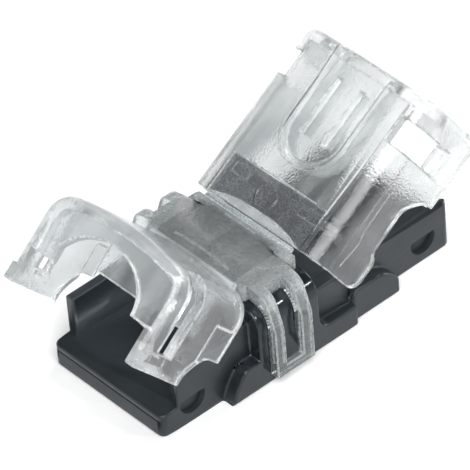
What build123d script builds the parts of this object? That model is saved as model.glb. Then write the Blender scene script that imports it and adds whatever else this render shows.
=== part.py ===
from build123d import *
import math
import os

os.makedirs("parts", exist_ok=True)

# Shared frame: x runs along the strip, z is up, the underside of the base is z = 0
base_length = 31.2
x_start = -base_length / 2
x_end = base_length / 2
drawn_length = 31.2
k = base_length / drawn_length

# Widths of the base, half of each, from the left end to the right end
left_half = 6.4
wide_half = 7.62
block_half = wide_half - 0.49
right_half = left_half - 0.58
pocket_half = wide_half - 0.98

# Places along the base
wide_from = x_start + 6.25 * k
post_from = x_start + 9.35 * k
post_to = x_start + 15.65 * k
wide_to = x_start + 19.56 * k
block_to = x_start + 24.5 * k
saddle_x = (post_from + post_to) / 2

# Heights of the base
floor_top = 2.2
left_wall_top = 6.0
right_wall_top = 4.4
post_top = 7.35
ledge_top = 1.95
toe_top = 2.73
block_top = 3.0
heel_pocket_r = 1.1
catch_r = 1.3
catch_depth = 0.45
catch_top = 2.5

# Strip chambers
left_room_half = left_half - 0.9
right_room_half = right_half - 0.7
lip = 1.74 * k

# Shared hinge line of the clear cover
hinge_z = 8.6
hinge_off = 3.0 * k
left_hinge_x = saddle_x - hinge_off
right_hinge_x = saddle_x + hinge_off
bead_r = 0.28
bead_play = 0.06
left_open = 49.0
right_open = 33.0

# Lids, drawn closed and then turned to the open pose
side_play = 0.22
lid_wall = 0.94
nub_height = 0.18
lid_inner = left_half + side_play
lid_half = lid_inner + lid_wall
lid_bottom = 0.2
shoulder_z = 6.22
shoulder_r = 2.3
shoulder_turn = 80
end_wall = 1.0 * k
left_spring = lid_bottom + 3.1
right_spring = right_wall_top + 0.15
arch_half = left_half - 1.65
arch_top = 6.95
corner_r = 0.9
lip_height = 1.4
left_lid_free = x_start - 0.2 * k
left_lid_rear = post_from - 0.15
left_heel = wide_from - 0.15
right_lid_free = x_end + 0.1 * k
right_lid_rear = post_to + 0.2
right_heel = block_to + 0.3
left_window_near = 2.55 * k
right_window_near = 1.95 * k
window_far = 4.25 * k
rib = 0.8
rib_low = 6.3
u_ring_half = 3.15
u_ring_wall = 0.55
u_ring_x = x_start + 24.3 * k
pan_half = 5.3
pan_to = x_start + 19.55 * k
pan_floor = 8.36
rim_wide = 0.8 * k
right_inner = lid_half - 0.82
window_reach = 1.81
thin_wall = 0.56

# Contacts
contact_y = 2.6
contact_width = 2.2
contact_thick = 0.3
strip_from = post_from - 2.1 * k
strip_to = post_to + 2.3 * k
slot_width = 2.5
slot_depth = 0.35
slot_top = 3.9
tooth_height = 1.4

# Saddle clamp
leg_from = saddle_x - 2.3 * k
leg_to = saddle_x + 1.6 * k
leg_thick = 0.95
leg_bottom = 0.9
leg_crease = 5.6
slot_from = leg_from + 1.0 * k
slot_to = leg_to - 1.15 * k
slot_inner = wide_half - 1.27
hinge_half = wide_half - 2.02
bead_half = wide_half - 2.72
saddle_plate_half = 2.7 * k
saddle_edge_z = 8.72
saddle_crown = 9.2


def shoulder_end(half, side_top, radius):
    """Where a lid's round shoulder ends, and the height of the crown that starts there."""
    turn = math.radians(shoulder_turn)
    px = half - radius + radius * math.cos(turn)
    pz = side_top + radius * math.sin(turn)
    crown = pz + px * math.tan((math.pi / 2 - turn) / 2)
    return px, pz, crown


def crowned(half, bottom, side_top, radius):
    """The outline of a lid across its length: upright sides, round shoulders and a low crown."""
    px, pz, crown = shoulder_end(half, side_top, radius)
    Line((-half, bottom), (half, bottom))
    Line((half, bottom), (half, side_top))
    CenterArc((half - radius, side_top), radius, 0, shoulder_turn)
    ThreePointArc((px, pz), (0, crown), (-px, pz))
    CenterArc((radius - half, side_top), radius, 180 - shoulder_turn, shoulder_turn)
    Line((-half, side_top), (-half, bottom))


def wide(x0, x1, y_half, z0, z1):
    """A block from x0 to x1, centred on the long axis, from z0 to z1."""
    with Locations(((x0 + x1) / 2, 0, (z0 + z1) / 2)):
        Box(x1 - x0, 2 * y_half, z1 - z0)


def span(x0, x1, y0, y1, z0, z1, mode=Mode.ADD):
    """A block given by its limits."""
    with Locations(((x0 + x1) / 2, (y0 + y1) / 2, (z0 + z1) / 2)):
        Box(abs(x1 - x0), abs(y1 - y0), abs(z1 - z0), mode=mode)


# Base: floor, chamber walls, centre posts, toes and finger block
with BuildPart() as base:
    with BuildSketch() as left_plan:
        with Locations(((x_start + post_from + 0.1) / 2, 0)):
            Rectangle(post_from + 0.1 - x_start, 2 * left_half)
        fillet(left_plan.vertices().group_by(Axis.X)[0], radius=0.6)
    extrude(amount=floor_top)
    for side in (-1, 1):
        span(x_start + lip, post_from + 0.1, side * left_room_half, side * left_half, floor_top, left_wall_top)
    # Toes in front of the posts and the low ledge behind them
    with BuildSketch(Plane.XZ) as toe_shape:
        with BuildLine():
            toe_line = Spline(
                (wide_from, 0), (wide_from + 0.5 * k, 1.23), (wide_from + 1.12 * k, 2.14), (wide_from + 2.1 * k, toe_top),
                tangents=((0.25, 1), (1, 0.05)))
            Line(toe_line @ 1, (post_from + 0.2, toe_top))
            Line((post_from + 0.2, toe_top), (post_from + 0.2, ledge_top + heel_pocket_r))
            Line((post_from + 0.2, ledge_top + heel_pocket_r), (post_to, ledge_top + heel_pocket_r))
            CenterArc((post_to + heel_pocket_r, ledge_top + heel_pocket_r), heel_pocket_r, 180, 90)
            Line((post_to + heel_pocket_r, ledge_top), (wide_to, ledge_top))
            Line((wide_to, ledge_top), (wide_to, 0))
            Line((wide_to, 0), (wide_from, 0))
        make_face()
    extrude(amount=wide_half, both=True)
    # Centre posts with the bridge between them
    with BuildSketch(Plane.YZ.offset(post_from)) as post_shape:
        with Locations((0, post_top / 2)):
            Rectangle(2 * wide_half, post_top)
        fillet(post_shape.vertices().group_by(Axis.Y)[-1], radius=1.8)
    extrude(amount=post_to - post_from)
    # Right side: walls inside the ledge, finger block, narrow end
    wide(post_to - 0.1, wide_to, pocket_half, 0, right_wall_top + 0.7)
    with BuildSketch(Plane.XZ) as block_shape:
        with BuildLine():
            Line((wide_to + 0.4 * k, block_top), (wide_to, block_top - 0.7))
            Line((wide_to, block_top - 0.7), (wide_to, ledge_top - 0.1))
            Line((wide_to, ledge_top - 0.1), (wide_to - 0.2, ledge_top - 0.1))
            Line((wide_to - 0.2, ledge_top - 0.1), (wide_to - 0.2, 0))
            Line((wide_to - 0.2, 0), (block_to, 0))
            Line((block_to, 0), (block_to, block_top - 1.8))
            Spline(
                (block_to, block_top - 1.8), (block_to - 0.4 * k, block_top - 1.05), (block_to - 1.0 * k, block_top - 0.55),
                (block_to - 2.3 * k, block_top - 0.08), tangents=((0, 1), (-1, 0.15)))
            Line((block_to - 2.3 * k, block_top - 0.08), (wide_to + 0.4 * k, block_top))
        make_face()
    extrude(amount=block_half, both=True)
    with BuildSketch() as right_plan:
        with Locations(((wide_to - 0.2 + x_end) / 2, 0)):
            Rectangle(x_end - wide_to + 0.2, 2 * right_half)
        fillet(right_plan.vertices().group_by(Axis.X)[-1], radius=0.6)
    extrude(amount=right_wall_top)
    # Strip chambers, open at both ends and at the top
    span(x_start - 1, post_from, -left_room_half, left_room_half, floor_top, 12, mode=Mode.SUBTRACT)
    span(post_to, x_end + 1, -right_room_half, right_room_half, floor_top, 12, mode=Mode.SUBTRACT)
    # Grooves and tunnels for the two contacts
    for side in (-1, 1):
        y0 = side * contact_y - slot_width / 2
        y1 = side * contact_y + slot_width / 2
        span(strip_from - 0.3, strip_to + 0.3, y0, y1, floor_top - slot_depth, floor_top, mode=Mode.SUBTRACT)
        span(post_from - 0.1, post_to + 0.1, y0, y1, floor_top - 0.01, slot_top, mode=Mode.SUBTRACT)
    # Half-round catches for the lids on the outside of both ends, flat on top
    for side in (-1, 1):
        for catch_x, wall in ((x_start + 3.2 * k, left_half), (x_start + 28.3 * k, right_half)):
            with BuildSketch(Plane.XZ.offset(-side * wall)) as catch_shape:
                with Locations((catch_x, catch_top - 0.35)):
                    Circle(catch_r * k)
                with Locations((catch_x, catch_top + 1)):
                    Rectangle(4 * catch_r, 2, mode=Mode.SUBTRACT)
            extrude(amount=catch_depth * side, mode=Mode.SUBTRACT)
    # Wedges that the saddle's crossbars catch under
    for side in (-1, 1):
        with BuildSketch(Plane.YZ.offset(slot_from + 0.12)) as wedge_shape:
            with BuildLine():
                Polyline(
                    (side * (wide_half - 0.2), leg_bottom + 1.1), (side * (wide_half + 0.6), leg_bottom + 1.1),
                    (side * (wide_half + 0.6), leg_bottom + 1.4), (side * (wide_half - 0.2), leg_bottom + 3.4),
                    (side * (wide_half - 0.2), leg_bottom + 1.1))
            make_face()
        extrude(amount=slot_to - slot_from - 0.24)
    # Parting groove on the left end face
    span(x_start - 0.1, x_start + 0.12, -left_half, left_half, 1.5, 1.65, mode=Mode.SUBTRACT)
base.part.label = "base"
export_step(base.part, "parts/base.step")


# Two contacts, stamped strips with piercing teeth at both ends
def contact(side):
    """One stamped strip with its teeth, lying in its groove."""
    y_mid = side * contact_y
    z0 = floor_top - slot_depth
    with BuildPart() as strip:
        y_low = y_mid - contact_width / 2
        y_high = y_mid + contact_width / 2
        span(strip_from, strip_to, y_low, y_high, z0, z0 + contact_thick)
        # Wings that hold the strip in its tunnel
        y_low = y_mid - slot_width / 2
        y_high = y_mid + slot_width / 2
        span(saddle_x - 1.0, saddle_x + 1.0, y_low, y_high, z0, z0 + contact_thick)
        for tooth_x in (strip_from + 1.0 * k, strip_to - 1.0 * k):
            for edge in (-1, 1):
                y_tooth = y_mid + edge * (contact_width / 2 - contact_thick / 2)
                with BuildSketch(Plane.XZ.offset(-y_tooth)) as tooth_shape:
                    with BuildLine():
                        Polyline(
                            (tooth_x - 0.6, z0 + contact_thick - 0.05),
                            (tooth_x + 0.6, z0 + contact_thick - 0.05),
                            (tooth_x + 0.05, z0 + contact_thick + tooth_height),
                            (tooth_x - 0.05, z0 + contact_thick + tooth_height),
                            (tooth_x - 0.6, z0 + contact_thick - 0.05))
                    make_face()
                extrude(amount=contact_thick / 2, both=True)
    return strip.part


near_contact = contact(-1)
near_contact.label = "near_contact"
export_step(near_contact, "parts/near_contact.step")
far_contact = contact(1)
far_contact.label = "far_contact"
export_step(far_contact, "parts/far_contact.step")


# Clear saddle that clips over the posts, with the hinge beads on both sides
with BuildPart() as saddle:
    with BuildSketch(Plane.YZ.offset(leg_from)) as saddle_shape:
        with BuildLine():
            Line((-wide_half - leg_thick, leg_crease), (-wide_half - leg_thick, leg_bottom))
            Line((-wide_half - leg_thick, leg_bottom), (wide_half + leg_thick, leg_bottom))
            Line((wide_half + leg_thick, leg_bottom), (wide_half + leg_thick, leg_crease))
            Line((wide_half + leg_thick, leg_crease), (wide_half + 0.3, leg_crease + 2.0))
            Spline(
                (wide_half + 0.3, leg_crease + 2.0), (wide_half - 0.15, saddle_edge_z - 0.4),
                (wide_half - 1.3, saddle_edge_z), tangents=((-0.35, 1), (-1, 0.15)))
            ThreePointArc((wide_half - 1.3, saddle_edge_z), (0, saddle_crown), (1.3 - wide_half, saddle_edge_z))
            Spline(
                (1.3 - wide_half, saddle_edge_z), (0.15 - wide_half, saddle_edge_z - 0.4),
                (-wide_half - 0.3, leg_crease + 2.0), tangents=((-1, -0.15), (-0.35, -1)))
            Line((-wide_half - 0.3, leg_crease + 2.0), (-wide_half - leg_thick, leg_crease))
        make_face()
    extrude(amount=leg_to - leg_from)
    # Plate edges that carry the hinge lines, a little below the crown of the middle
    with BuildSketch(Plane.YZ.offset(saddle_x - saddle_plate_half)) as plate_shape:
        with BuildLine():
            Line((-hinge_half, post_top), (hinge_half, post_top))
            Line((hinge_half, post_top), (hinge_half, hinge_z + bead_r - 0.1))
            ThreePointArc((hinge_half, hinge_z + bead_r - 0.1), (0, saddle_crown - 0.1), (-hinge_half, hinge_z + bead_r - 0.1))
            Line((-hinge_half, hinge_z + bead_r - 0.1), (-hinge_half, post_top))
        make_face()
    extrude(amount=2 * saddle_plate_half)
    # Slopes from the crown down to both hinge lines
    for toward in (-1, 1):
        edge = saddle_x + toward * saddle_plate_half
        with BuildSketch(Plane.XZ) as slope_shape:
            with BuildLine():
                Polyline(
                    (edge + toward * 0.1, saddle_edge_z), (edge - toward * 0.35, saddle_edge_z + 0.12),
                    (edge - toward * 0.75, saddle_crown + 0.1), (edge + toward * 0.1, saddle_crown + 0.1),
                    (edge + toward * 0.1, saddle_edge_z))
            make_face()
        extrude(amount=8, both=True, mode=Mode.SUBTRACT)
    with BuildSketch(Plane.YZ.offset(leg_from - 1)) as saddle_inside:
        with Locations((0, post_top / 2)):
            Rectangle(2 * wide_half, post_top)
        fillet(saddle_inside.vertices().group_by(Axis.Y)[-1], radius=1.8)
    extrude(amount=leg_to - leg_from + 2, mode=Mode.SUBTRACT)
    # Slot between the two bars of each leg, open over the shoulder
    for side in (-1, 1):
        span(slot_from, slot_to, side * slot_inner, side * 12, leg_bottom + 0.95, 12, mode=Mode.SUBTRACT)
    for x_bead, toward in ((left_hinge_x, 1), (right_hinge_x, -1)):
        with Locations(Location((x_bead, 0, hinge_z), (90, 0, 0))):
            Cylinder(bead_r, 2 * bead_half)
        span(x_bead, x_bead + toward * 0.5, -bead_half, bead_half, hinge_z - 0.17, hinge_z + 0.17)
saddle.part.label = "saddle_clamp"
export_step(saddle.part, "parts/saddle_clamp.step")


def lid(free_x, rear_x, heel_x, hinge_x, notch_length, notch_top, window_near, window_bottom, nub_half,
        cross_x, cross_half, spring):
    """One clear lid in its closed place; free_x is its free end and rear_x its hinge end."""
    away = 1 if free_x > rear_x else -1
    length = abs(free_x - rear_x)
    room_end = free_x - away * end_wall
    past_rear = rear_x - away
    with BuildPart() as shell:
        with BuildSketch(Plane.YZ.offset(min(free_x, rear_x))) as lid_outer:
            with BuildLine():
                crowned(lid_half, lid_bottom, shoulder_z, shoulder_r)
            make_face()
        extrude(amount=length)
        # Rounded rim at the free end
        rim = [e for e in shell.edges() if abs(e.center().X - free_x) < 0.01 and e.center().Z > lid_bottom + 0.1]
        fillet(rim, radius=corner_r)
        # Square lips at the foot of the corners
        for side in (-1, 1):
            span(free_x, free_x - away * 2, side * lid_inner, side * lid_half, lid_bottom, lid_bottom + lip_height)
        # Hollow inside, open below and toward the hinge
        room_half = lid_inner if nub_half > lid_inner - 0.01 else right_inner
        with BuildSketch(Plane.YZ.offset(min(room_end, past_rear))) as lid_inside:
            with BuildLine():
                crowned(room_half, lid_bottom - 1, shoulder_z - 0.12, shoulder_r - 0.82)
            make_face()
        extrude(amount=abs(room_end - past_rear), mode=Mode.SUBTRACT)
        if nub_half < lid_inner - 0.01:
            thick_from = heel_x + away * window_near
            for side in (-1, 1):
                span(thick_from, room_end + away * 0.2, side * nub_half, side * (room_half + 0.1), lid_bottom, 7.2)
        # Arched mouth through the end wall
        mouth = min(lid_inner, nub_half)
        span(free_x + away, room_end - away * 0.1, -mouth, mouth, lid_bottom - 1, spring, mode=Mode.SUBTRACT)
        with BuildSketch(Plane.YZ.offset(min(free_x + away, room_end))) as arch_shape:
            with Locations((0, spring - 0.01)):
                Ellipse(arch_half, arch_top - spring)
        extrude(amount=end_wall + 1, mode=Mode.SUBTRACT)
        # Pressing rib across the lid
        span(cross_x - rib / 2, cross_x + rib / 2, -cross_half, cross_half, 3.9, 7.9)
        # Windows through the side walls and shoulders
        for side in (-1, 1):
            span(heel_x + away * window_near, heel_x + away * window_far, side * (lid_half - window_reach), side * (lid_half + 1.4),
                 lid_bottom + window_bottom, 12, mode=Mode.SUBTRACT)
        # Notches that clear the toes and the block
        with BuildSketch(Plane.XZ) as notch_shape:
            with BuildLine():
                Line((heel_x, lid_bottom - 1), (heel_x, lid_bottom + 0.4))
                Spline(
                    (heel_x, lid_bottom + 0.4), (heel_x - away * 0.3 * k, lid_bottom + 1.45),
                    (heel_x - away * 1.15 * k, lid_bottom + 2.55), (heel_x - away * 2.4 * k, notch_top),
                    tangents=((0, 1), (-away, 0)))
                Line((heel_x - away * 2.4 * k, notch_top), (heel_x - away * notch_length, notch_top))
                Line((heel_x - away * notch_length, notch_top), (heel_x - away * notch_length, lid_bottom - 1))
                Line((heel_x - away * notch_length, lid_bottom - 1), (heel_x, lid_bottom - 1))
            make_face()
        extrude(amount=12, both=True, mode=Mode.SUBTRACT)
        # Nubs that catch in the base's pockets, under the windows
        for side in (-1, 1):
            nub_top = lid_bottom + window_bottom - 0.1
            with BuildSketch(Plane.YZ.offset(heel_x + away * (window_near + window_far) / 2 - 0.9 * k)) as nub_shape:
                with BuildLine():
                    Polyline(
                        (side * (nub_half + 0.1), nub_top), (side * (nub_half - nub_height), nub_top),
                        (side * (nub_half - nub_height), nub_top - 0.35), (side * (nub_half + 0.1), nub_top - 1.0),
                        (side * (nub_half + 0.1), nub_top))
                make_face()
            extrude(amount=1.8 * k)
        # Seat round the hinge bead
        with Locations(Location((hinge_x, 0, hinge_z), (90, 0, 0))):
            Cylinder(bead_r + bead_play, 20, mode=Mode.SUBTRACT)
    return shell


# Left lid: short, open at about half its travel
left_shell = lid(left_lid_free, left_lid_rear, left_heel, left_hinge_x, 3.9 * k, lid_bottom + 2.85,
                 left_window_near, 1.75, lid_inner, x_start + 6.75 * k, left_room_half - 0.3, left_spring)
with BuildPart() as left_full:
    add(left_shell.part)
    # Thinner rear part of the side walls
    for side in (-1, 1):
        span(left_heel + 0.9 * k, left_lid_rear + 1, side * (lid_inner - 0.6),
             side * (lid_half - thin_wall), 1, 5.7, mode=Mode.SUBTRACT)
left_lid = left_full.part.rotate(Axis((left_hinge_x, 0, hinge_z), (0, 1, 0)), left_open)
left_lid.label = "left_lid"
export_step(left_lid, "parts/left_lid.step")

# Right lid: long, with a rounded heel behind its notch
right_shell = lid(right_lid_free, right_lid_rear, right_heel, right_hinge_x, 5.45 * k, lid_bottom + 3.0,
                  right_window_near, 2.4, right_half + side_play, x_start + 18.6 * k, right_room_half - 0.3, right_spring)
with BuildPart() as right_full:
    add(right_shell.part)
    # The wall behind the notch stops above the ledge, with a rounded lower corner
    heel_z = lid_bottom + 1.95
    with BuildSketch(Plane.XZ) as heel_shape:
        with BuildLine():
            Line((right_lid_rear - 1, -1), (right_heel - 5.3 * k, -1))
            Line((right_heel - 5.3 * k, -1), (right_heel - 5.3 * k, heel_z + 0.9))
            Line((right_heel - 5.3 * k, heel_z + 0.9), (right_heel - 5.65 * k, heel_z + 0.9))
            Spline(
                (right_heel - 5.65 * k, heel_z + 0.9), (right_heel - 5.95 * k, heel_z + 0.3),
                (right_heel - 6.6 * k, heel_z), tangents=((-0.1, -1), (-1, 0)))
            Line((right_heel - 6.6 * k, heel_z), (right_lid_rear + 1.2, heel_z))
            ThreePointArc((right_lid_rear + 1.2, heel_z), (right_lid_rear + 0.35, heel_z + 0.35), (right_lid_rear, heel_z + 1.2))
            Line((right_lid_rear, heel_z + 1.2), (right_lid_rear - 1, heel_z + 1.2))
            Line((right_lid_rear - 1, heel_z + 1.2), (right_lid_rear - 1, -1))
        make_face()
    extrude(amount=12, both=True, mode=Mode.SUBTRACT)
    # Sunk pan beside the hinge, with a lens-shaped rim left along the hinge
    with BuildSketch(Plane.XY.offset(pan_floor)) as pan_shape:
        with BuildLine():
            ThreePointArc((right_lid_rear, -pan_half), (right_lid_rear + rim_wide, 0), (right_lid_rear, pan_half))
            Line((right_lid_rear, pan_half), (pan_to, pan_half))
            Line((pan_to, pan_half), (pan_to, -pan_half))
            Line((pan_to, -pan_half), (right_lid_rear, -pan_half))
        make_face()
    extrude(amount=2, mode=Mode.SUBTRACT)
    with Locations((x_start + 17.9 * k, 0.3, pan_floor)):
        Cylinder(1.15, 0.12)
        Cylinder(0.95, 0.12, mode=Mode.SUBTRACT)
    # Long U-shaped pocket on the top, open at the free end
    with BuildSketch(Plane.XY.offset(8.62)) as pocket_shape:
        with Locations((u_ring_x, 0)):
            Circle(u_ring_half)
        with Locations(((u_ring_x + right_lid_free + 1) / 2, 0)):
            Rectangle(right_lid_free + 1 - u_ring_x, 2 * u_ring_half)
    extrude(amount=2, mode=Mode.SUBTRACT)
    # Ribs under the plate: one that follows the U and two inside it
    room_end = right_lid_free - end_wall
    rib_high = shoulder_end(right_inner, shoulder_z - 0.12, shoulder_r - 0.82)[2] + 0.06
    with BuildSketch(Plane.XY.offset(rib_low)) as ring_shape:
        with Locations((u_ring_x, 0)):
            Circle(u_ring_half)
        with Locations(((u_ring_x + room_end + 0.1) / 2, 0)):
            Rectangle(room_end + 0.1 - u_ring_x, 2 * u_ring_half)
        with Locations((u_ring_x, 0)):
            Circle(u_ring_half - u_ring_wall, mode=Mode.SUBTRACT)
        with Locations(((u_ring_x + room_end + 1) / 2, 0)):
            Rectangle(room_end + 1 - u_ring_x, 2 * (u_ring_half - u_ring_wall), mode=Mode.SUBTRACT)
    extrude(amount=rib_high - rib_low)
    for side in (-1, 1):
        span(u_ring_x - 0.6 * k, u_ring_x + 4.6 * k, side * 1.0, side * 1.5, rib_low + 0.5, rib_high)
    # Fine line along both side walls, with a small jog
    for side in (-1, 1):
        with BuildSketch(Plane.XZ.offset(-side * (lid_half - 0.13))) as line_shape:
            with BuildLine():
                Polyline(
                    (x_start + 16.7 * k, 6.0), (x_start + 19.1 * k, 5.6), (x_start + 19.7 * k, 5.95),
                    (x_start + 24.0 * k, 6.15), (x_start + 24.0 * k, 6.0), (x_start + 19.7 * k, 5.8),
                    (x_start + 19.1 * k, 5.45), (x_start + 16.7 * k, 5.85), (x_start + 16.7 * k, 6.0))
            make_face()
        extrude(amount=-side * 1, mode=Mode.SUBTRACT)
right_lid = right_full.part.rotate(Axis((right_hinge_x, 0, hinge_z), (0, 1, 0)), -right_open)
right_lid.label = "right_lid"
export_step(right_lid, "parts/right_lid.step")
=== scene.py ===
import bpy, bmesh, math
from mathutils import Vector, Matrix, kdtree


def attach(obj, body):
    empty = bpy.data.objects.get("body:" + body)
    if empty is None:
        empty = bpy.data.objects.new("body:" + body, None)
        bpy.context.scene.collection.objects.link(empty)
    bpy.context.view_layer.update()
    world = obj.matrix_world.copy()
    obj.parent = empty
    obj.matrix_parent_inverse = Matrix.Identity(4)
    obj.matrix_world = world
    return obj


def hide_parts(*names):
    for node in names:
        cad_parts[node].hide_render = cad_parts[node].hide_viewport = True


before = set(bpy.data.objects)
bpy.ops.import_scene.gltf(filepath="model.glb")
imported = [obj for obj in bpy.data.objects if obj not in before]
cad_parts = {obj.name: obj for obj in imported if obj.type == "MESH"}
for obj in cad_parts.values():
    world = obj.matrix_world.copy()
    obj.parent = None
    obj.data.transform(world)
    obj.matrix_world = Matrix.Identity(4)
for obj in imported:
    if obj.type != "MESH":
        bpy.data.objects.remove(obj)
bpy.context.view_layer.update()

cameraSettings = {
    "azimuth": -39.02, "elevation": 40.92, "roll": -4.84,  # degrees
    "target": (0.0014, 0.0, 0.0), "offset": (0.00277, -0.00478), "distance": 0.4436,
    "pixelsPerMetre": 12624.0, "picture": 470, "sensor": 36, "near": 0.01, "far": 20,
}


def makeCamera(s):
    a, e, r = (math.radians(s[k]) for k in ("azimuth", "elevation", "roll"))
    back = Vector((math.sin(a) * math.cos(e), -math.cos(a) * math.cos(e), math.sin(e)))
    right = Vector((math.cos(a), math.sin(a), 0))
    up = back.cross(right)
    x = right * math.cos(r) + up * math.sin(r)
    y = up * math.cos(r) - right * math.sin(r)
    cam = bpy.data.objects.new("camera", bpy.data.cameras.new("camera"))
    bpy.context.scene.collection.objects.link(cam)
    cam.location = Vector(s["target"]) - x * s["offset"][0] - y * s["offset"][1] + back * s["distance"]
    cam.rotation_mode = "QUATERNION"
    cam.rotation_quaternion = Matrix((x, y, back)).transposed().to_quaternion()
    cam.data.sensor_width = s["sensor"]
    cam.data.lens = s["sensor"] * s["pixelsPerMetre"] * s["distance"] / s["picture"]
    cam.data.clip_start, cam.data.clip_end = s["near"], s["far"]
    bpy.context.scene.camera = cam
    print("camera lens", round(cam.data.lens, 1))


makeCamera(cameraSettings)

# pale all round the horizon, dimmer overhead, as in a light tent with a dark ceiling
studioSettings = {
    "horizon": (1.0, 1.0, 1.0), "overhead": (0.06, 0.062, 0.066), "worldStrength": 0.9,
    "horizonAt": 0.02, "overheadAt": 0.55,
    "floorReach": 3, "floorAt": -0.00002, "paper": (0.95, 0.95, 0.95), "paperRoughness": 0.95,
    # name, where it stands, its width in degrees and its strength
    "suns": (
        ("softKey", (-0.5, -0.7, 1.0), 50, 3.3),
        ("softSide", (1.0, 0.1, 0.4), 40, 1.8),
        ("glint", (0.476, -0.655, 0.587), 3, 0.4),
    ),
}


def makeStudio(s):
    bpy.context.scene.view_settings.view_transform = "Standard"
    world = bpy.data.worlds.new("studio")
    bpy.context.scene.world = world
    world.use_nodes = True
    nodes, links = world.node_tree.nodes, world.node_tree.links
    coords = nodes.new("ShaderNodeTexCoord")
    split = nodes.new("ShaderNodeSeparateXYZ")
    sky = nodes.new("ShaderNodeValToRGB")
    low, high = sky.color_ramp.elements
    low.position, high.position = s["horizonAt"], s["overheadAt"]
    low.color, high.color = (*s["horizon"], 1), (*s["overhead"], 1)
    links.new(coords.outputs["Generated"], split.inputs["Vector"])
    links.new(split.outputs["Z"], sky.inputs["Fac"])
    links.new(sky.outputs["Color"], nodes["Background"].inputs["Color"])
    nodes["Background"].inputs["Strength"].default_value = s["worldStrength"]
    bm = bmesh.new()
    bmesh.ops.create_grid(bm, x_segments=1, y_segments=1, size=s["floorReach"])
    bmesh.ops.translate(bm, verts=bm.verts, vec=(0, 0, s["floorAt"]))
    floorMesh = bpy.data.meshes.new("floor")
    bm.to_mesh(floorMesh)
    bm.free()
    floor = bpy.data.objects.new("floor", floorMesh)
    bpy.context.scene.collection.objects.link(floor)
    paper = bpy.data.materials.new("palePaper")
    paper.use_nodes = True
    shader = paper.node_tree.nodes["Principled BSDF"]
    shader.inputs["Base Color"].default_value = (*s["paper"], 1)
    shader.inputs["Roughness"].default_value = s["paperRoughness"]
    shader.inputs["Specular IOR Level"].default_value = 0.0
    floorMesh.materials.append(paper)
    for name, place, angle, strength in s["suns"]:
        light = bpy.data.objects.new(name, bpy.data.lights.new(name, "SUN"))
        bpy.context.scene.collection.objects.link(light)
        light.location = place
        light.rotation_mode = "QUATERNION"
        light.rotation_quaternion = Vector(place).to_track_quat("Z", "Y")
        light.data.angle, light.data.energy = math.radians(angle), strength
    print("studio with", len(s["suns"]), "suns")


makeStudio(studioSettings)


# small helpers for the materials, which mostly hand back a socket
# a noise is given as scale, detail and both ends of its ramp
# a relief is given as scale, detail, strength and depth

def startMaterial(name):
    mat = bpy.data.materials.new(name)
    mat.use_nodes = True
    nodes, links = mat.node_tree.nodes, mat.node_tree.links
    coords = nodes.new("ShaderNodeTexCoord")
    return mat, (nodes, links), nodes["Principled BSDF"], coords.outputs["Object"]


def worked(tree, operation, *terms):
    nodes, links = tree
    node = nodes.new("ShaderNodeMath")
    node.operation = operation
    for socket, term in zip(node.inputs, terms):
        if isinstance(term, (int, float)):
            socket.default_value = term
        else:
            links.new(term, socket)
    return node.outputs["Value"]


def ranged(tree, value, start, end, low=0.0, high=1.0):
    nodes, links = tree
    node = nodes.new("ShaderNodeMapRange")
    links.new(value, node.inputs["Value"])
    for socket, number in (("From Min", start), ("From Max", end), ("To Min", low), ("To Max", high)):
        node.inputs[socket].default_value = number
    return node.outputs["Result"]


def noisy(tree, spot, scale, detail):
    nodes, links = tree
    noise = nodes.new("ShaderNodeTexNoise")
    noise.inputs["Scale"].default_value, noise.inputs["Detail"].default_value = scale, detail
    links.new(spot, noise.inputs["Vector"])
    return noise.outputs["Fac"]


def noiseRamp(tree, spot, noise, dark, pale):
    nodes, links = tree
    scale, detail, fromAt, toAt = noise
    ramp = nodes.new("ShaderNodeValToRGB")
    first, last = ramp.color_ramp.elements
    first.position, last.position = fromAt, toAt
    first.color, last.color = (*dark, 1), (*pale, 1)
    links.new(noisy(tree, spot, scale, detail), ramp.inputs["Fac"])
    return ramp.outputs["Color"]


def mixedTone(tree, share, tone, other):
    nodes, links = tree
    mix = nodes.new("ShaderNodeMix")
    mix.data_type = "RGBA"
    links.new(share, mix.inputs["Factor"])
    links.new(tone, mix.inputs[6])
    if isinstance(other, tuple):
        mix.inputs[7].default_value = (*other, 1)
    else:
        links.new(other, mix.inputs[7])
    return mix.outputs[2]


def bumped(tree, spot, relief, under=None):
    nodes, links = tree
    scale, detail, strength, depth = relief
    bump = nodes.new("ShaderNodeBump")
    bump.inputs["Strength"].default_value, bump.inputs["Distance"].default_value = strength, depth
    links.new(noisy(tree, spot, scale, detail), bump.inputs["Height"])
    if under:
        links.new(under, bump.inputs["Normal"])
    return bump.outputs["Normal"]


# what the saddle and both lids share
clearFinish = {
    "ior": 1.5, "edgeRadius": 0.00012, "softEdge": 0.00012, "streakNoise": (260, 4, 0.35, 0.75),
    "columnNoise": (620, 3), "columnEnds": (0.35, 0.62), "columnPull": 0.14,
    "swell": (420, 2, 0.18, 0.0001),
}


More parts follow.
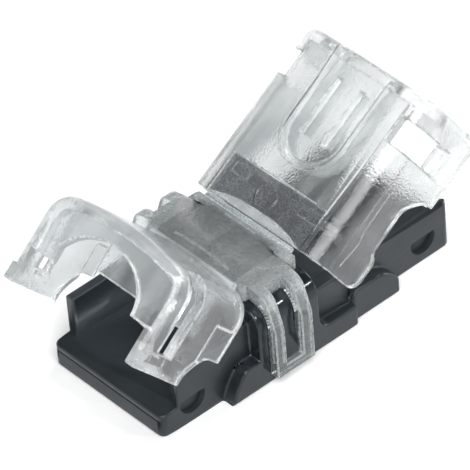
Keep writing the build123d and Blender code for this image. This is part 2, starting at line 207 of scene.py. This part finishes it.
def clearPlastic(s):
    f = clearFinish
    mat, tree, shader, spot = startMaterial(s["material"])
    nodes, links = tree
    # faint milky streaks of the moulding flow
    tone = noiseRamp(tree, spot, f["streakNoise"], s["streakDark"], s["streakPale"])
    # place along the piece, measured from its hinge line, drives the frost
    fromHinge, dot, split = (nodes.new(kind) for kind in (
        "ShaderNodeVectorMath", "ShaderNodeVectorMath", "ShaderNodeSeparateXYZ"))
    fromHinge.operation, dot.operation = "SUBTRACT", "DOT_PRODUCT"
    links.new(spot, fromHinge.inputs[0])
    fromHinge.inputs[1].default_value = s["hinge"]
    links.new(fromHinge.outputs["Vector"], dot.inputs[0])
    dot.inputs[1].default_value = s["direction"]
    along = dot.outputs["Value"]
    place = ranged(tree, along, *s["reach"])
    mottle = noisy(tree, spot, *s["mottleNoise"])
    # a milky white stretch along the hinge line, bowed as its thick rim is, is painted highlight for the
    # bright line along the hinge; bars at both sides get a clearness of their own
    links.new(spot, split.inputs["Vector"])
    sideways = worked(tree, "ABSOLUTE", split.outputs["Y"])
    bowed = worked(tree, "MULTIPLY_ADD", worked(tree, "POWER", sideways, 2), s["bow"], along)
    rimAt, barsAt, soft = s["hingeRim"], s["barsFrom"], f["softEdge"]
    hingeRim = ranged(tree, bowed, rimAt - soft, rimAt + soft, s["rimClear"], 1)
    sideBars = ranged(tree, sideways, barsAt - soft, barsAt + soft, 1, s["barClear"])
    clear = worked(tree, "MULTIPLY", hingeRim, sideBars)
    # long columns of clearer and milkier plastic run along the piece
    line = nodes.new("ShaderNodeCombineXYZ")
    links.new(worked(tree, "MULTIPLY", along, f["columnPull"]), line.inputs["X"])
    links.new(split.outputs["Y"], line.inputs["Y"])
    column = noisy(tree, line.outputs["Vector"], *f["columnNoise"])
    clear = worked(tree, "MULTIPLY", clear, ranged(tree, column, *f["columnEnds"], *s["columns"]))
    if "legsBelow" in s:
        # the legs are clearer than the bridge over them
        legsTo = s["legsBelow"]
        legs = ranged(tree, split.outputs["Z"], legsTo - s["legBlend"], legsTo, s["legClear"], 1)
        clear = worked(tree, "MULTIPLY", clear, legs)
    if "paleFrom" in s:
        # towards the free end the tint is paler: painted light where the white floor shows through the
        # lid
        toPale = ranged(tree, place, s["paleFrom"], s["paleTo"], 0, s["paleShare"])
        tone = mixedTone(tree, toPale, tone, s["paleTone"])
    if "panDark" in s:
        # the thin floor of the sunk pan gets a darker grey tone and less clearness between the hinge rim
        # and the side bars
        inside = ranged(tree, sideways, barsAt - s["panBlend"], barsAt, 1, 0)
        before = ranged(tree, along, s["panTo"] - s["panBlend"], s["panTo"], 1, 0)
        beyond = ranged(tree, bowed, rimAt - s["rimBlend"], rimAt + s["rimBlend"])
        pan = worked(tree, "MULTIPLY", worked(tree, "MULTIPLY", inside, before), beyond)
        panTone = noiseRamp(tree, spot, s["panNoise"], s["panDark"], s["panPale"])
        tone = mixedTone(tree, pan, tone, panTone)
        clear = worked(tree, "MULTIPLY", clear, ranged(tree, pan, 0, 1, 1, s["panClear"]))
    links.new(tone, shader.inputs["Base Color"])
    driven = (("Transmission Weight", "clearness", -s["mottle"]), ("Roughness", "haze", s["mottle"]))
    for socket, key, spread in driven:
        stops = nodes.new("ShaderNodeValToRGB")
        while len(stops.color_ramp.elements) < len(s[key]):
            stops.color_ramp.elements.new(0.5)
        for stop, (at, value) in zip(stops.color_ramp.elements, s[key]):
            stop.position, stop.color = at, (*[value - spread / 2] * 3, 1)
        links.new(place, stops.inputs["Fac"])
        uneven = worked(tree, "MULTIPLY_ADD", mottle, spread, stops.outputs["Color"])
        uneven.node.use_clamp = True
        if key == "clearness":
            uneven = worked(tree, "MULTIPLY", uneven, clear)
        links.new(uneven, shader.inputs[socket])
    shader.inputs["IOR"].default_value = f["ior"]
    links.new(bumped(tree, spot, s["grain"], bumped(tree, spot, f["swell"])), shader.inputs["Normal"])
    print("material", mat.name)
    return mat


def rimPlastic(s):
    # eased edges get a milkier material of their own: on the saddle a pale one, painted highlight for
    # the light its edges gather, and on the lids a darker grey one, painted shade that outlines their
    # edges
    mat, tree, shader, spot = startMaterial(s["material"])
    links = tree[1]
    links.new(noiseRamp(tree, spot, s["toneNoise"], s["dark"], s["pale"]), shader.inputs["Base Color"])
    links.new(noiseRamp(tree, spot, s["glossNoise"], s["glossy"], s["dull"]), shader.inputs["Roughness"])
    shader.inputs["Transmission Weight"].default_value = s["clearness"]
    shader.inputs["IOR"].default_value = clearFinish["ior"]
    links.new(bumped(tree, spot, s["grain"]), shader.inputs["Normal"])
    print("material", mat.name)
    return mat


def blackPlastic(s):
    mat, tree, shader, spot = startMaterial("blackPlastic")
    nodes, links = tree
    links.new(noiseRamp(tree, spot, s["toneNoise"], s["dark"], s["pale"]), shader.inputs["Base Color"])
    # satin all over, glossier on the polished centre posts
    gloss = noiseRamp(tree, spot, s["glossNoise"], s["glossy"], s["dull"])
    split = nodes.new("ShaderNodeSeparateXYZ")
    links.new(spot, split.inputs["Vector"])
    away = worked(tree, "ABSOLUTE", worked(tree, "SUBTRACT", split.outputs["X"], s["postAt"]))
    polish = ranged(tree, away, s["postReach"], s["postReach"] + s["postBlend"], s["polish"], 1)
    links.new(worked(tree, "MULTIPLY", gloss, polish), shader.inputs["Roughness"])
    shader.inputs["IOR"].default_value = s["ior"]
    shader.inputs["Specular Tint"].default_value = (*s["sheen"], 1)
    links.new(bumped(tree, spot, s["grain"]), shader.inputs["Normal"])
    print("material", mat.name)
    return mat


def contactMetal(s):
    mat, tree, shader, spot = startMaterial("contactMetal")
    links = tree[1]
    links.new(noiseRamp(tree, spot, s["toneNoise"], s["dark"], s["pale"]), shader.inputs["Base Color"])
    links.new(noiseRamp(tree, spot, s["glossNoise"], s["glossy"], s["dull"]), shader.inputs["Roughness"])
    shader.inputs["Metallic"].default_value = 1
    links.new(bumped(tree, spot, s["grain"]), shader.inputs["Normal"])
    print("material", mat.name)
    return mat


# how the mould's sharp edges are eased: angles in degrees, steps and room in radii of the easing
easing = {
    "sharpFrom": 32, "flatWithin": 0.8, "mergeWithin": 1e-6, "sameSpot": 1e-9,
    "sampleStep": 1.2, "room": 2.3, "beside": 0.75, "segments": 2,
}


def markEasedEdges(bm, radius):
    # sharp edges get eased, except where another one runs beside them closer than the easing needs
    weights = bm.edges.layers.float.new("bevel_weight_edge")
    bm.edges.index_update()
    least = math.radians(easing["sharpFrom"])
    sharp = [e for e in bm.edges if len(e.link_faces) == 2 and e.calc_face_angle(0) > least]
    samples = []
    for e in sharp:
        a, b = (v.co.copy() for v in e.verts)
        count = max(1, int((b - a).length / (radius * easing["sampleStep"])))
        samples += [(a.lerp(b, (i + 0.5) / count), e) for i in range(count)]
    tree = kdtree.KDTree(len(samples))
    for i, (spot, e) in enumerate(samples):
        tree.insert(spot, i)
    tree.balance()
    crowded = set()
    for spot, e in samples:
        line = (e.verts[1].co - e.verts[0].co).normalized()
        for other, j, gap in tree.find_range(spot, radius * easing["room"]):
            f = samples[j][1]
            if f is e or gap < easing["sameSpot"] or set(f.verts) & set(e.verts):
                continue
            if abs((other - spot).dot(line)) < easing["beside"] * gap:
                crowded.add(e.index)
                break
    for e in sharp:
        e[weights] = 0.0 if e.index in crowded else 1.0
    print("eased", len(sharp) - len(crowded), "of", len(sharp), "edges")


def mouldedCopy(s, mats):
    # the solid's own shape, merged, with its sharp edges eased as a mould leaves them
    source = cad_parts[s["node"]]
    mesh = bpy.data.meshes.new(s["piece"])
    bm = bmesh.new()
    bm.from_mesh(source.data)
    bmesh.ops.transform(bm, matrix=source.matrix_world, verts=bm.verts)
    bmesh.ops.remove_doubles(bm, verts=bm.verts, dist=easing["mergeWithin"])
    flat = math.radians(easing["flatWithin"])
    bmesh.ops.dissolve_limit(bm, angle_limit=flat, verts=bm.verts, edges=bm.edges)
    markEasedEdges(bm, s["edgeRadius"])
    bm.to_mesh(mesh)
    bm.free()
    for p in mesh.polygons:
        p.use_smooth = True
    for mat in mats:
        mesh.materials.append(mat)
    obj = bpy.data.objects.new(s["piece"], mesh)
    bpy.context.scene.collection.objects.link(obj)
    bevel = obj.modifiers.new("easedEdges", "BEVEL")
    bevel.width, bevel.segments = s["edgeRadius"], easing["segments"]
    bevel.limit_method = "WEIGHT"
    bevel.use_clamp_overlap = False
    bevel.harden_normals = False
    bevel.material = len(mats) - 1  # the last material is the edges' own
    smooth = obj.modifiers.new("evenNormals", "WEIGHTED_NORMAL")
    smooth.keep_sharp = False
    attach(obj, s["body"])
    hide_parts(s["node"])
    # the thin clear lids let the suns' light through
    obj.visible_shadow = s["shadow"]
    print("piece", s["piece"], len(mesh.polygons), "faces")


baseSettings = {
    "node": "base", "body": "base", "piece": "baseMoulding", "slot": "black_plastic", "shadow": True,
    "edgeRadius": 0.0002, "ior": 1.5,
    "toneNoise": (320, 5, 0.3, 0.8), "dark": (0.0085, 0.0110, 0.0132), "pale": (0.017, 0.0212, 0.0250),
    "glossNoise": (700, 4, 0.3, 0.8), "glossy": (0.36, 0.36, 0.36), "dull": (0.46, 0.46, 0.46),
    "sheen": (0.86, 0.94, 1.0), "grain": (2600, 2, 0.25, 0.00003),
    "postAt": -0.0031, "postReach": 0.0034, "postBlend": 0.0006, "polish": 0.38,
}
mouldedCopy(baseSettings, [blackPlastic(baseSettings)])

# clearness and haze are stops along each clear piece: 0 at the start of its reach, 1 at the end of it
saddleSettings = {
    "node": "saddle_clamp", "body": "base", "piece": "saddleMoulding", "slot": "clear_plastic",
    "shadow": True, "edgeRadius": clearFinish["edgeRadius"], "material": "clearSaddle",
    "hinge": (-0.0031, 0.0, 0.0086), "direction": (1.0, 0.0, 0.0), "reach": (-0.0034, 0.0034),
    "streakDark": (0.77, 0.83, 0.835), "streakPale": (0.92, 0.97, 0.975), "columns": (0.96, 1.03),
    "grain": (5200, 2, 0.9, 0.00004), "mottle": 0.24, "mottleNoise": (4200, 6),
    "bow": 0.0, "hingeRim": -0.0027, "rimClear": 0.7, "barsFrom": 0.0045, "barClear": 0.88,
    "legsBelow": 0.0078, "legBlend": 0.0006, "legClear": 1.24,
    "clearness": ((0.0, 0.8), (0.85, 0.8), (0.92, 0.68)),
    "haze": ((0.0, 0.12), (0.85, 0.12), (0.92, 0.3)),
    # the saddle's edges are milkier than its body, so whiter: painted highlight where its edges gather
    # light
    "edges": {
        "material": "saddleRim", "clearness": 0.68, "grain": (1800, 2, 0.3, 0.00004),
        "toneNoise": (900, 4, 0.3, 0.75), "dark": (0.66, 0.70, 0.71), "pale": (0.94, 0.97, 0.97),
        "glossNoise": (1400, 3, 0.3, 0.8), "glossy": (0.2, 0.2, 0.2), "dull": (0.4, 0.4, 0.4),
    },
}
mouldedCopy(saddleSettings, [clearPlastic(saddleSettings), rimPlastic(saddleSettings["edges"])])

# both lids' eased edges, darker grey than the lids: painted shade outlining them
lidEdges = {
    "material": "clearRim", "clearness": 0.55, "grain": (1800, 2, 0.3, 0.00004),
    "toneNoise": (900, 4, 0.3, 0.75), "dark": (0.40, 0.42, 0.425), "pale": (0.70, 0.72, 0.72),
    "glossNoise": (1400, 3, 0.3, 0.8), "glossy": (0.2, 0.2, 0.2), "dull": (0.4, 0.4, 0.4),
}
lidRim = rimPlastic(lidEdges)

leftLidSettings = {
    "node": "left_lid", "body": "left_lid", "piece": "leftLidMoulding", "slot": "clear_plastic",
    "shadow": False, "edgeRadius": clearFinish["edgeRadius"], "material": "clearLeftLid",
    "hinge": (-0.0061, 0.0, 0.0086), "direction": (-0.656, 0.0, 0.755), "reach": (0.0, 0.0105),
    # the lid's tint is darkened grey: painted shade for the grey the clear lid shows under light
    "streakDark": (0.62, 0.645, 0.65), "streakPale": (0.80, 0.82, 0.825), "columns": (0.88, 1.05),
    "grain": (5200, 2, 0.7, 0.00004), "mottle": 0.16, "mottleNoise": (3600, 6),
    "bow": 20.0, "hingeRim": 0.0009, "rimClear": 0.7, "barsFrom": 0.0064, "barClear": 1.06,
    "clearness": ((0.0, 0.9), (0.6, 0.9), (1.0, 0.82)),
    "haze": ((0.0, 0.1), (0.6, 0.1), (1.0, 0.18)),
}
mouldedCopy(leftLidSettings, [clearPlastic(leftLidSettings), lidRim])

rightLidSettings = {
    "node": "right_lid", "body": "right_lid", "piece": "rightLidMoulding", "slot": "clear_plastic",
    "shadow": False, "edgeRadius": clearFinish["edgeRadius"], "material": "clearRightLid",
    "hinge": (-0.0001, 0.0, 0.0086), "direction": (0.839, 0.0, 0.545), "reach": (0.0, 0.0165),
    # a darker grey tint than the left lid's, though of the same plastic: painted shade
    "streakDark": (0.56, 0.585, 0.585), "streakPale": (0.78, 0.80, 0.80), "columns": (0.84, 1.05),
    "grain": (5200, 2, 0.7, 0.00004), "mottle": 0.16, "mottleNoise": (3600, 6),
    "bow": 28.5, "hingeRim": 0.00115, "rimClear": 0.66, "barsFrom": 0.0053, "barClear": 1.07,
    # paler free end: painted light of the floor seen through the lid
    "paleTone": (0.97, 0.985, 0.98), "paleFrom": 0.4, "paleTo": 0.85, "paleShare": 0.3,
    # darker grey tone and lower clearness for the sunk pan's floor
    "panNoise": (7000, 3, 0.3, 0.7),
    "panDark": (0.11, 0.116, 0.121), "panPale": (0.28, 0.294, 0.306),
    "panTo": 0.00405, "panBlend": 0.00008, "rimBlend": 0.0001, "panClear": 0.62,
    "clearness": ((0.0, 0.93), (0.24, 0.93), (0.25, 0.92), (0.6, 0.9), (1.0, 0.88)),
    "haze": ((0.0, 0.06), (0.24, 0.06), (0.25, 0.16), (0.6, 0.16), (1.0, 0.2)),
}
mouldedCopy(rightLidSettings, [clearPlastic(rightLidSettings), lidRim])

contactSettings = {
    "nodes": ("near_contact", "far_contact"), "grain": (3000, 2, 0.2, 0.00001),
    "toneNoise": (500, 4, 0.3, 0.8), "dark": (0.20, 0.19, 0.17), "pale": (0.38, 0.36, 0.33),
    "glossNoise": (1500, 3, 0.3, 0.8), "glossy": (0.18, 0.18, 0.18), "dull": (0.36, 0.36, 0.36),
}
metal = contactMetal(contactSettings)
for contact in contactSettings["nodes"]:
    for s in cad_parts[contact].material_slots:
        s.material = metal
    print("contact", contact)
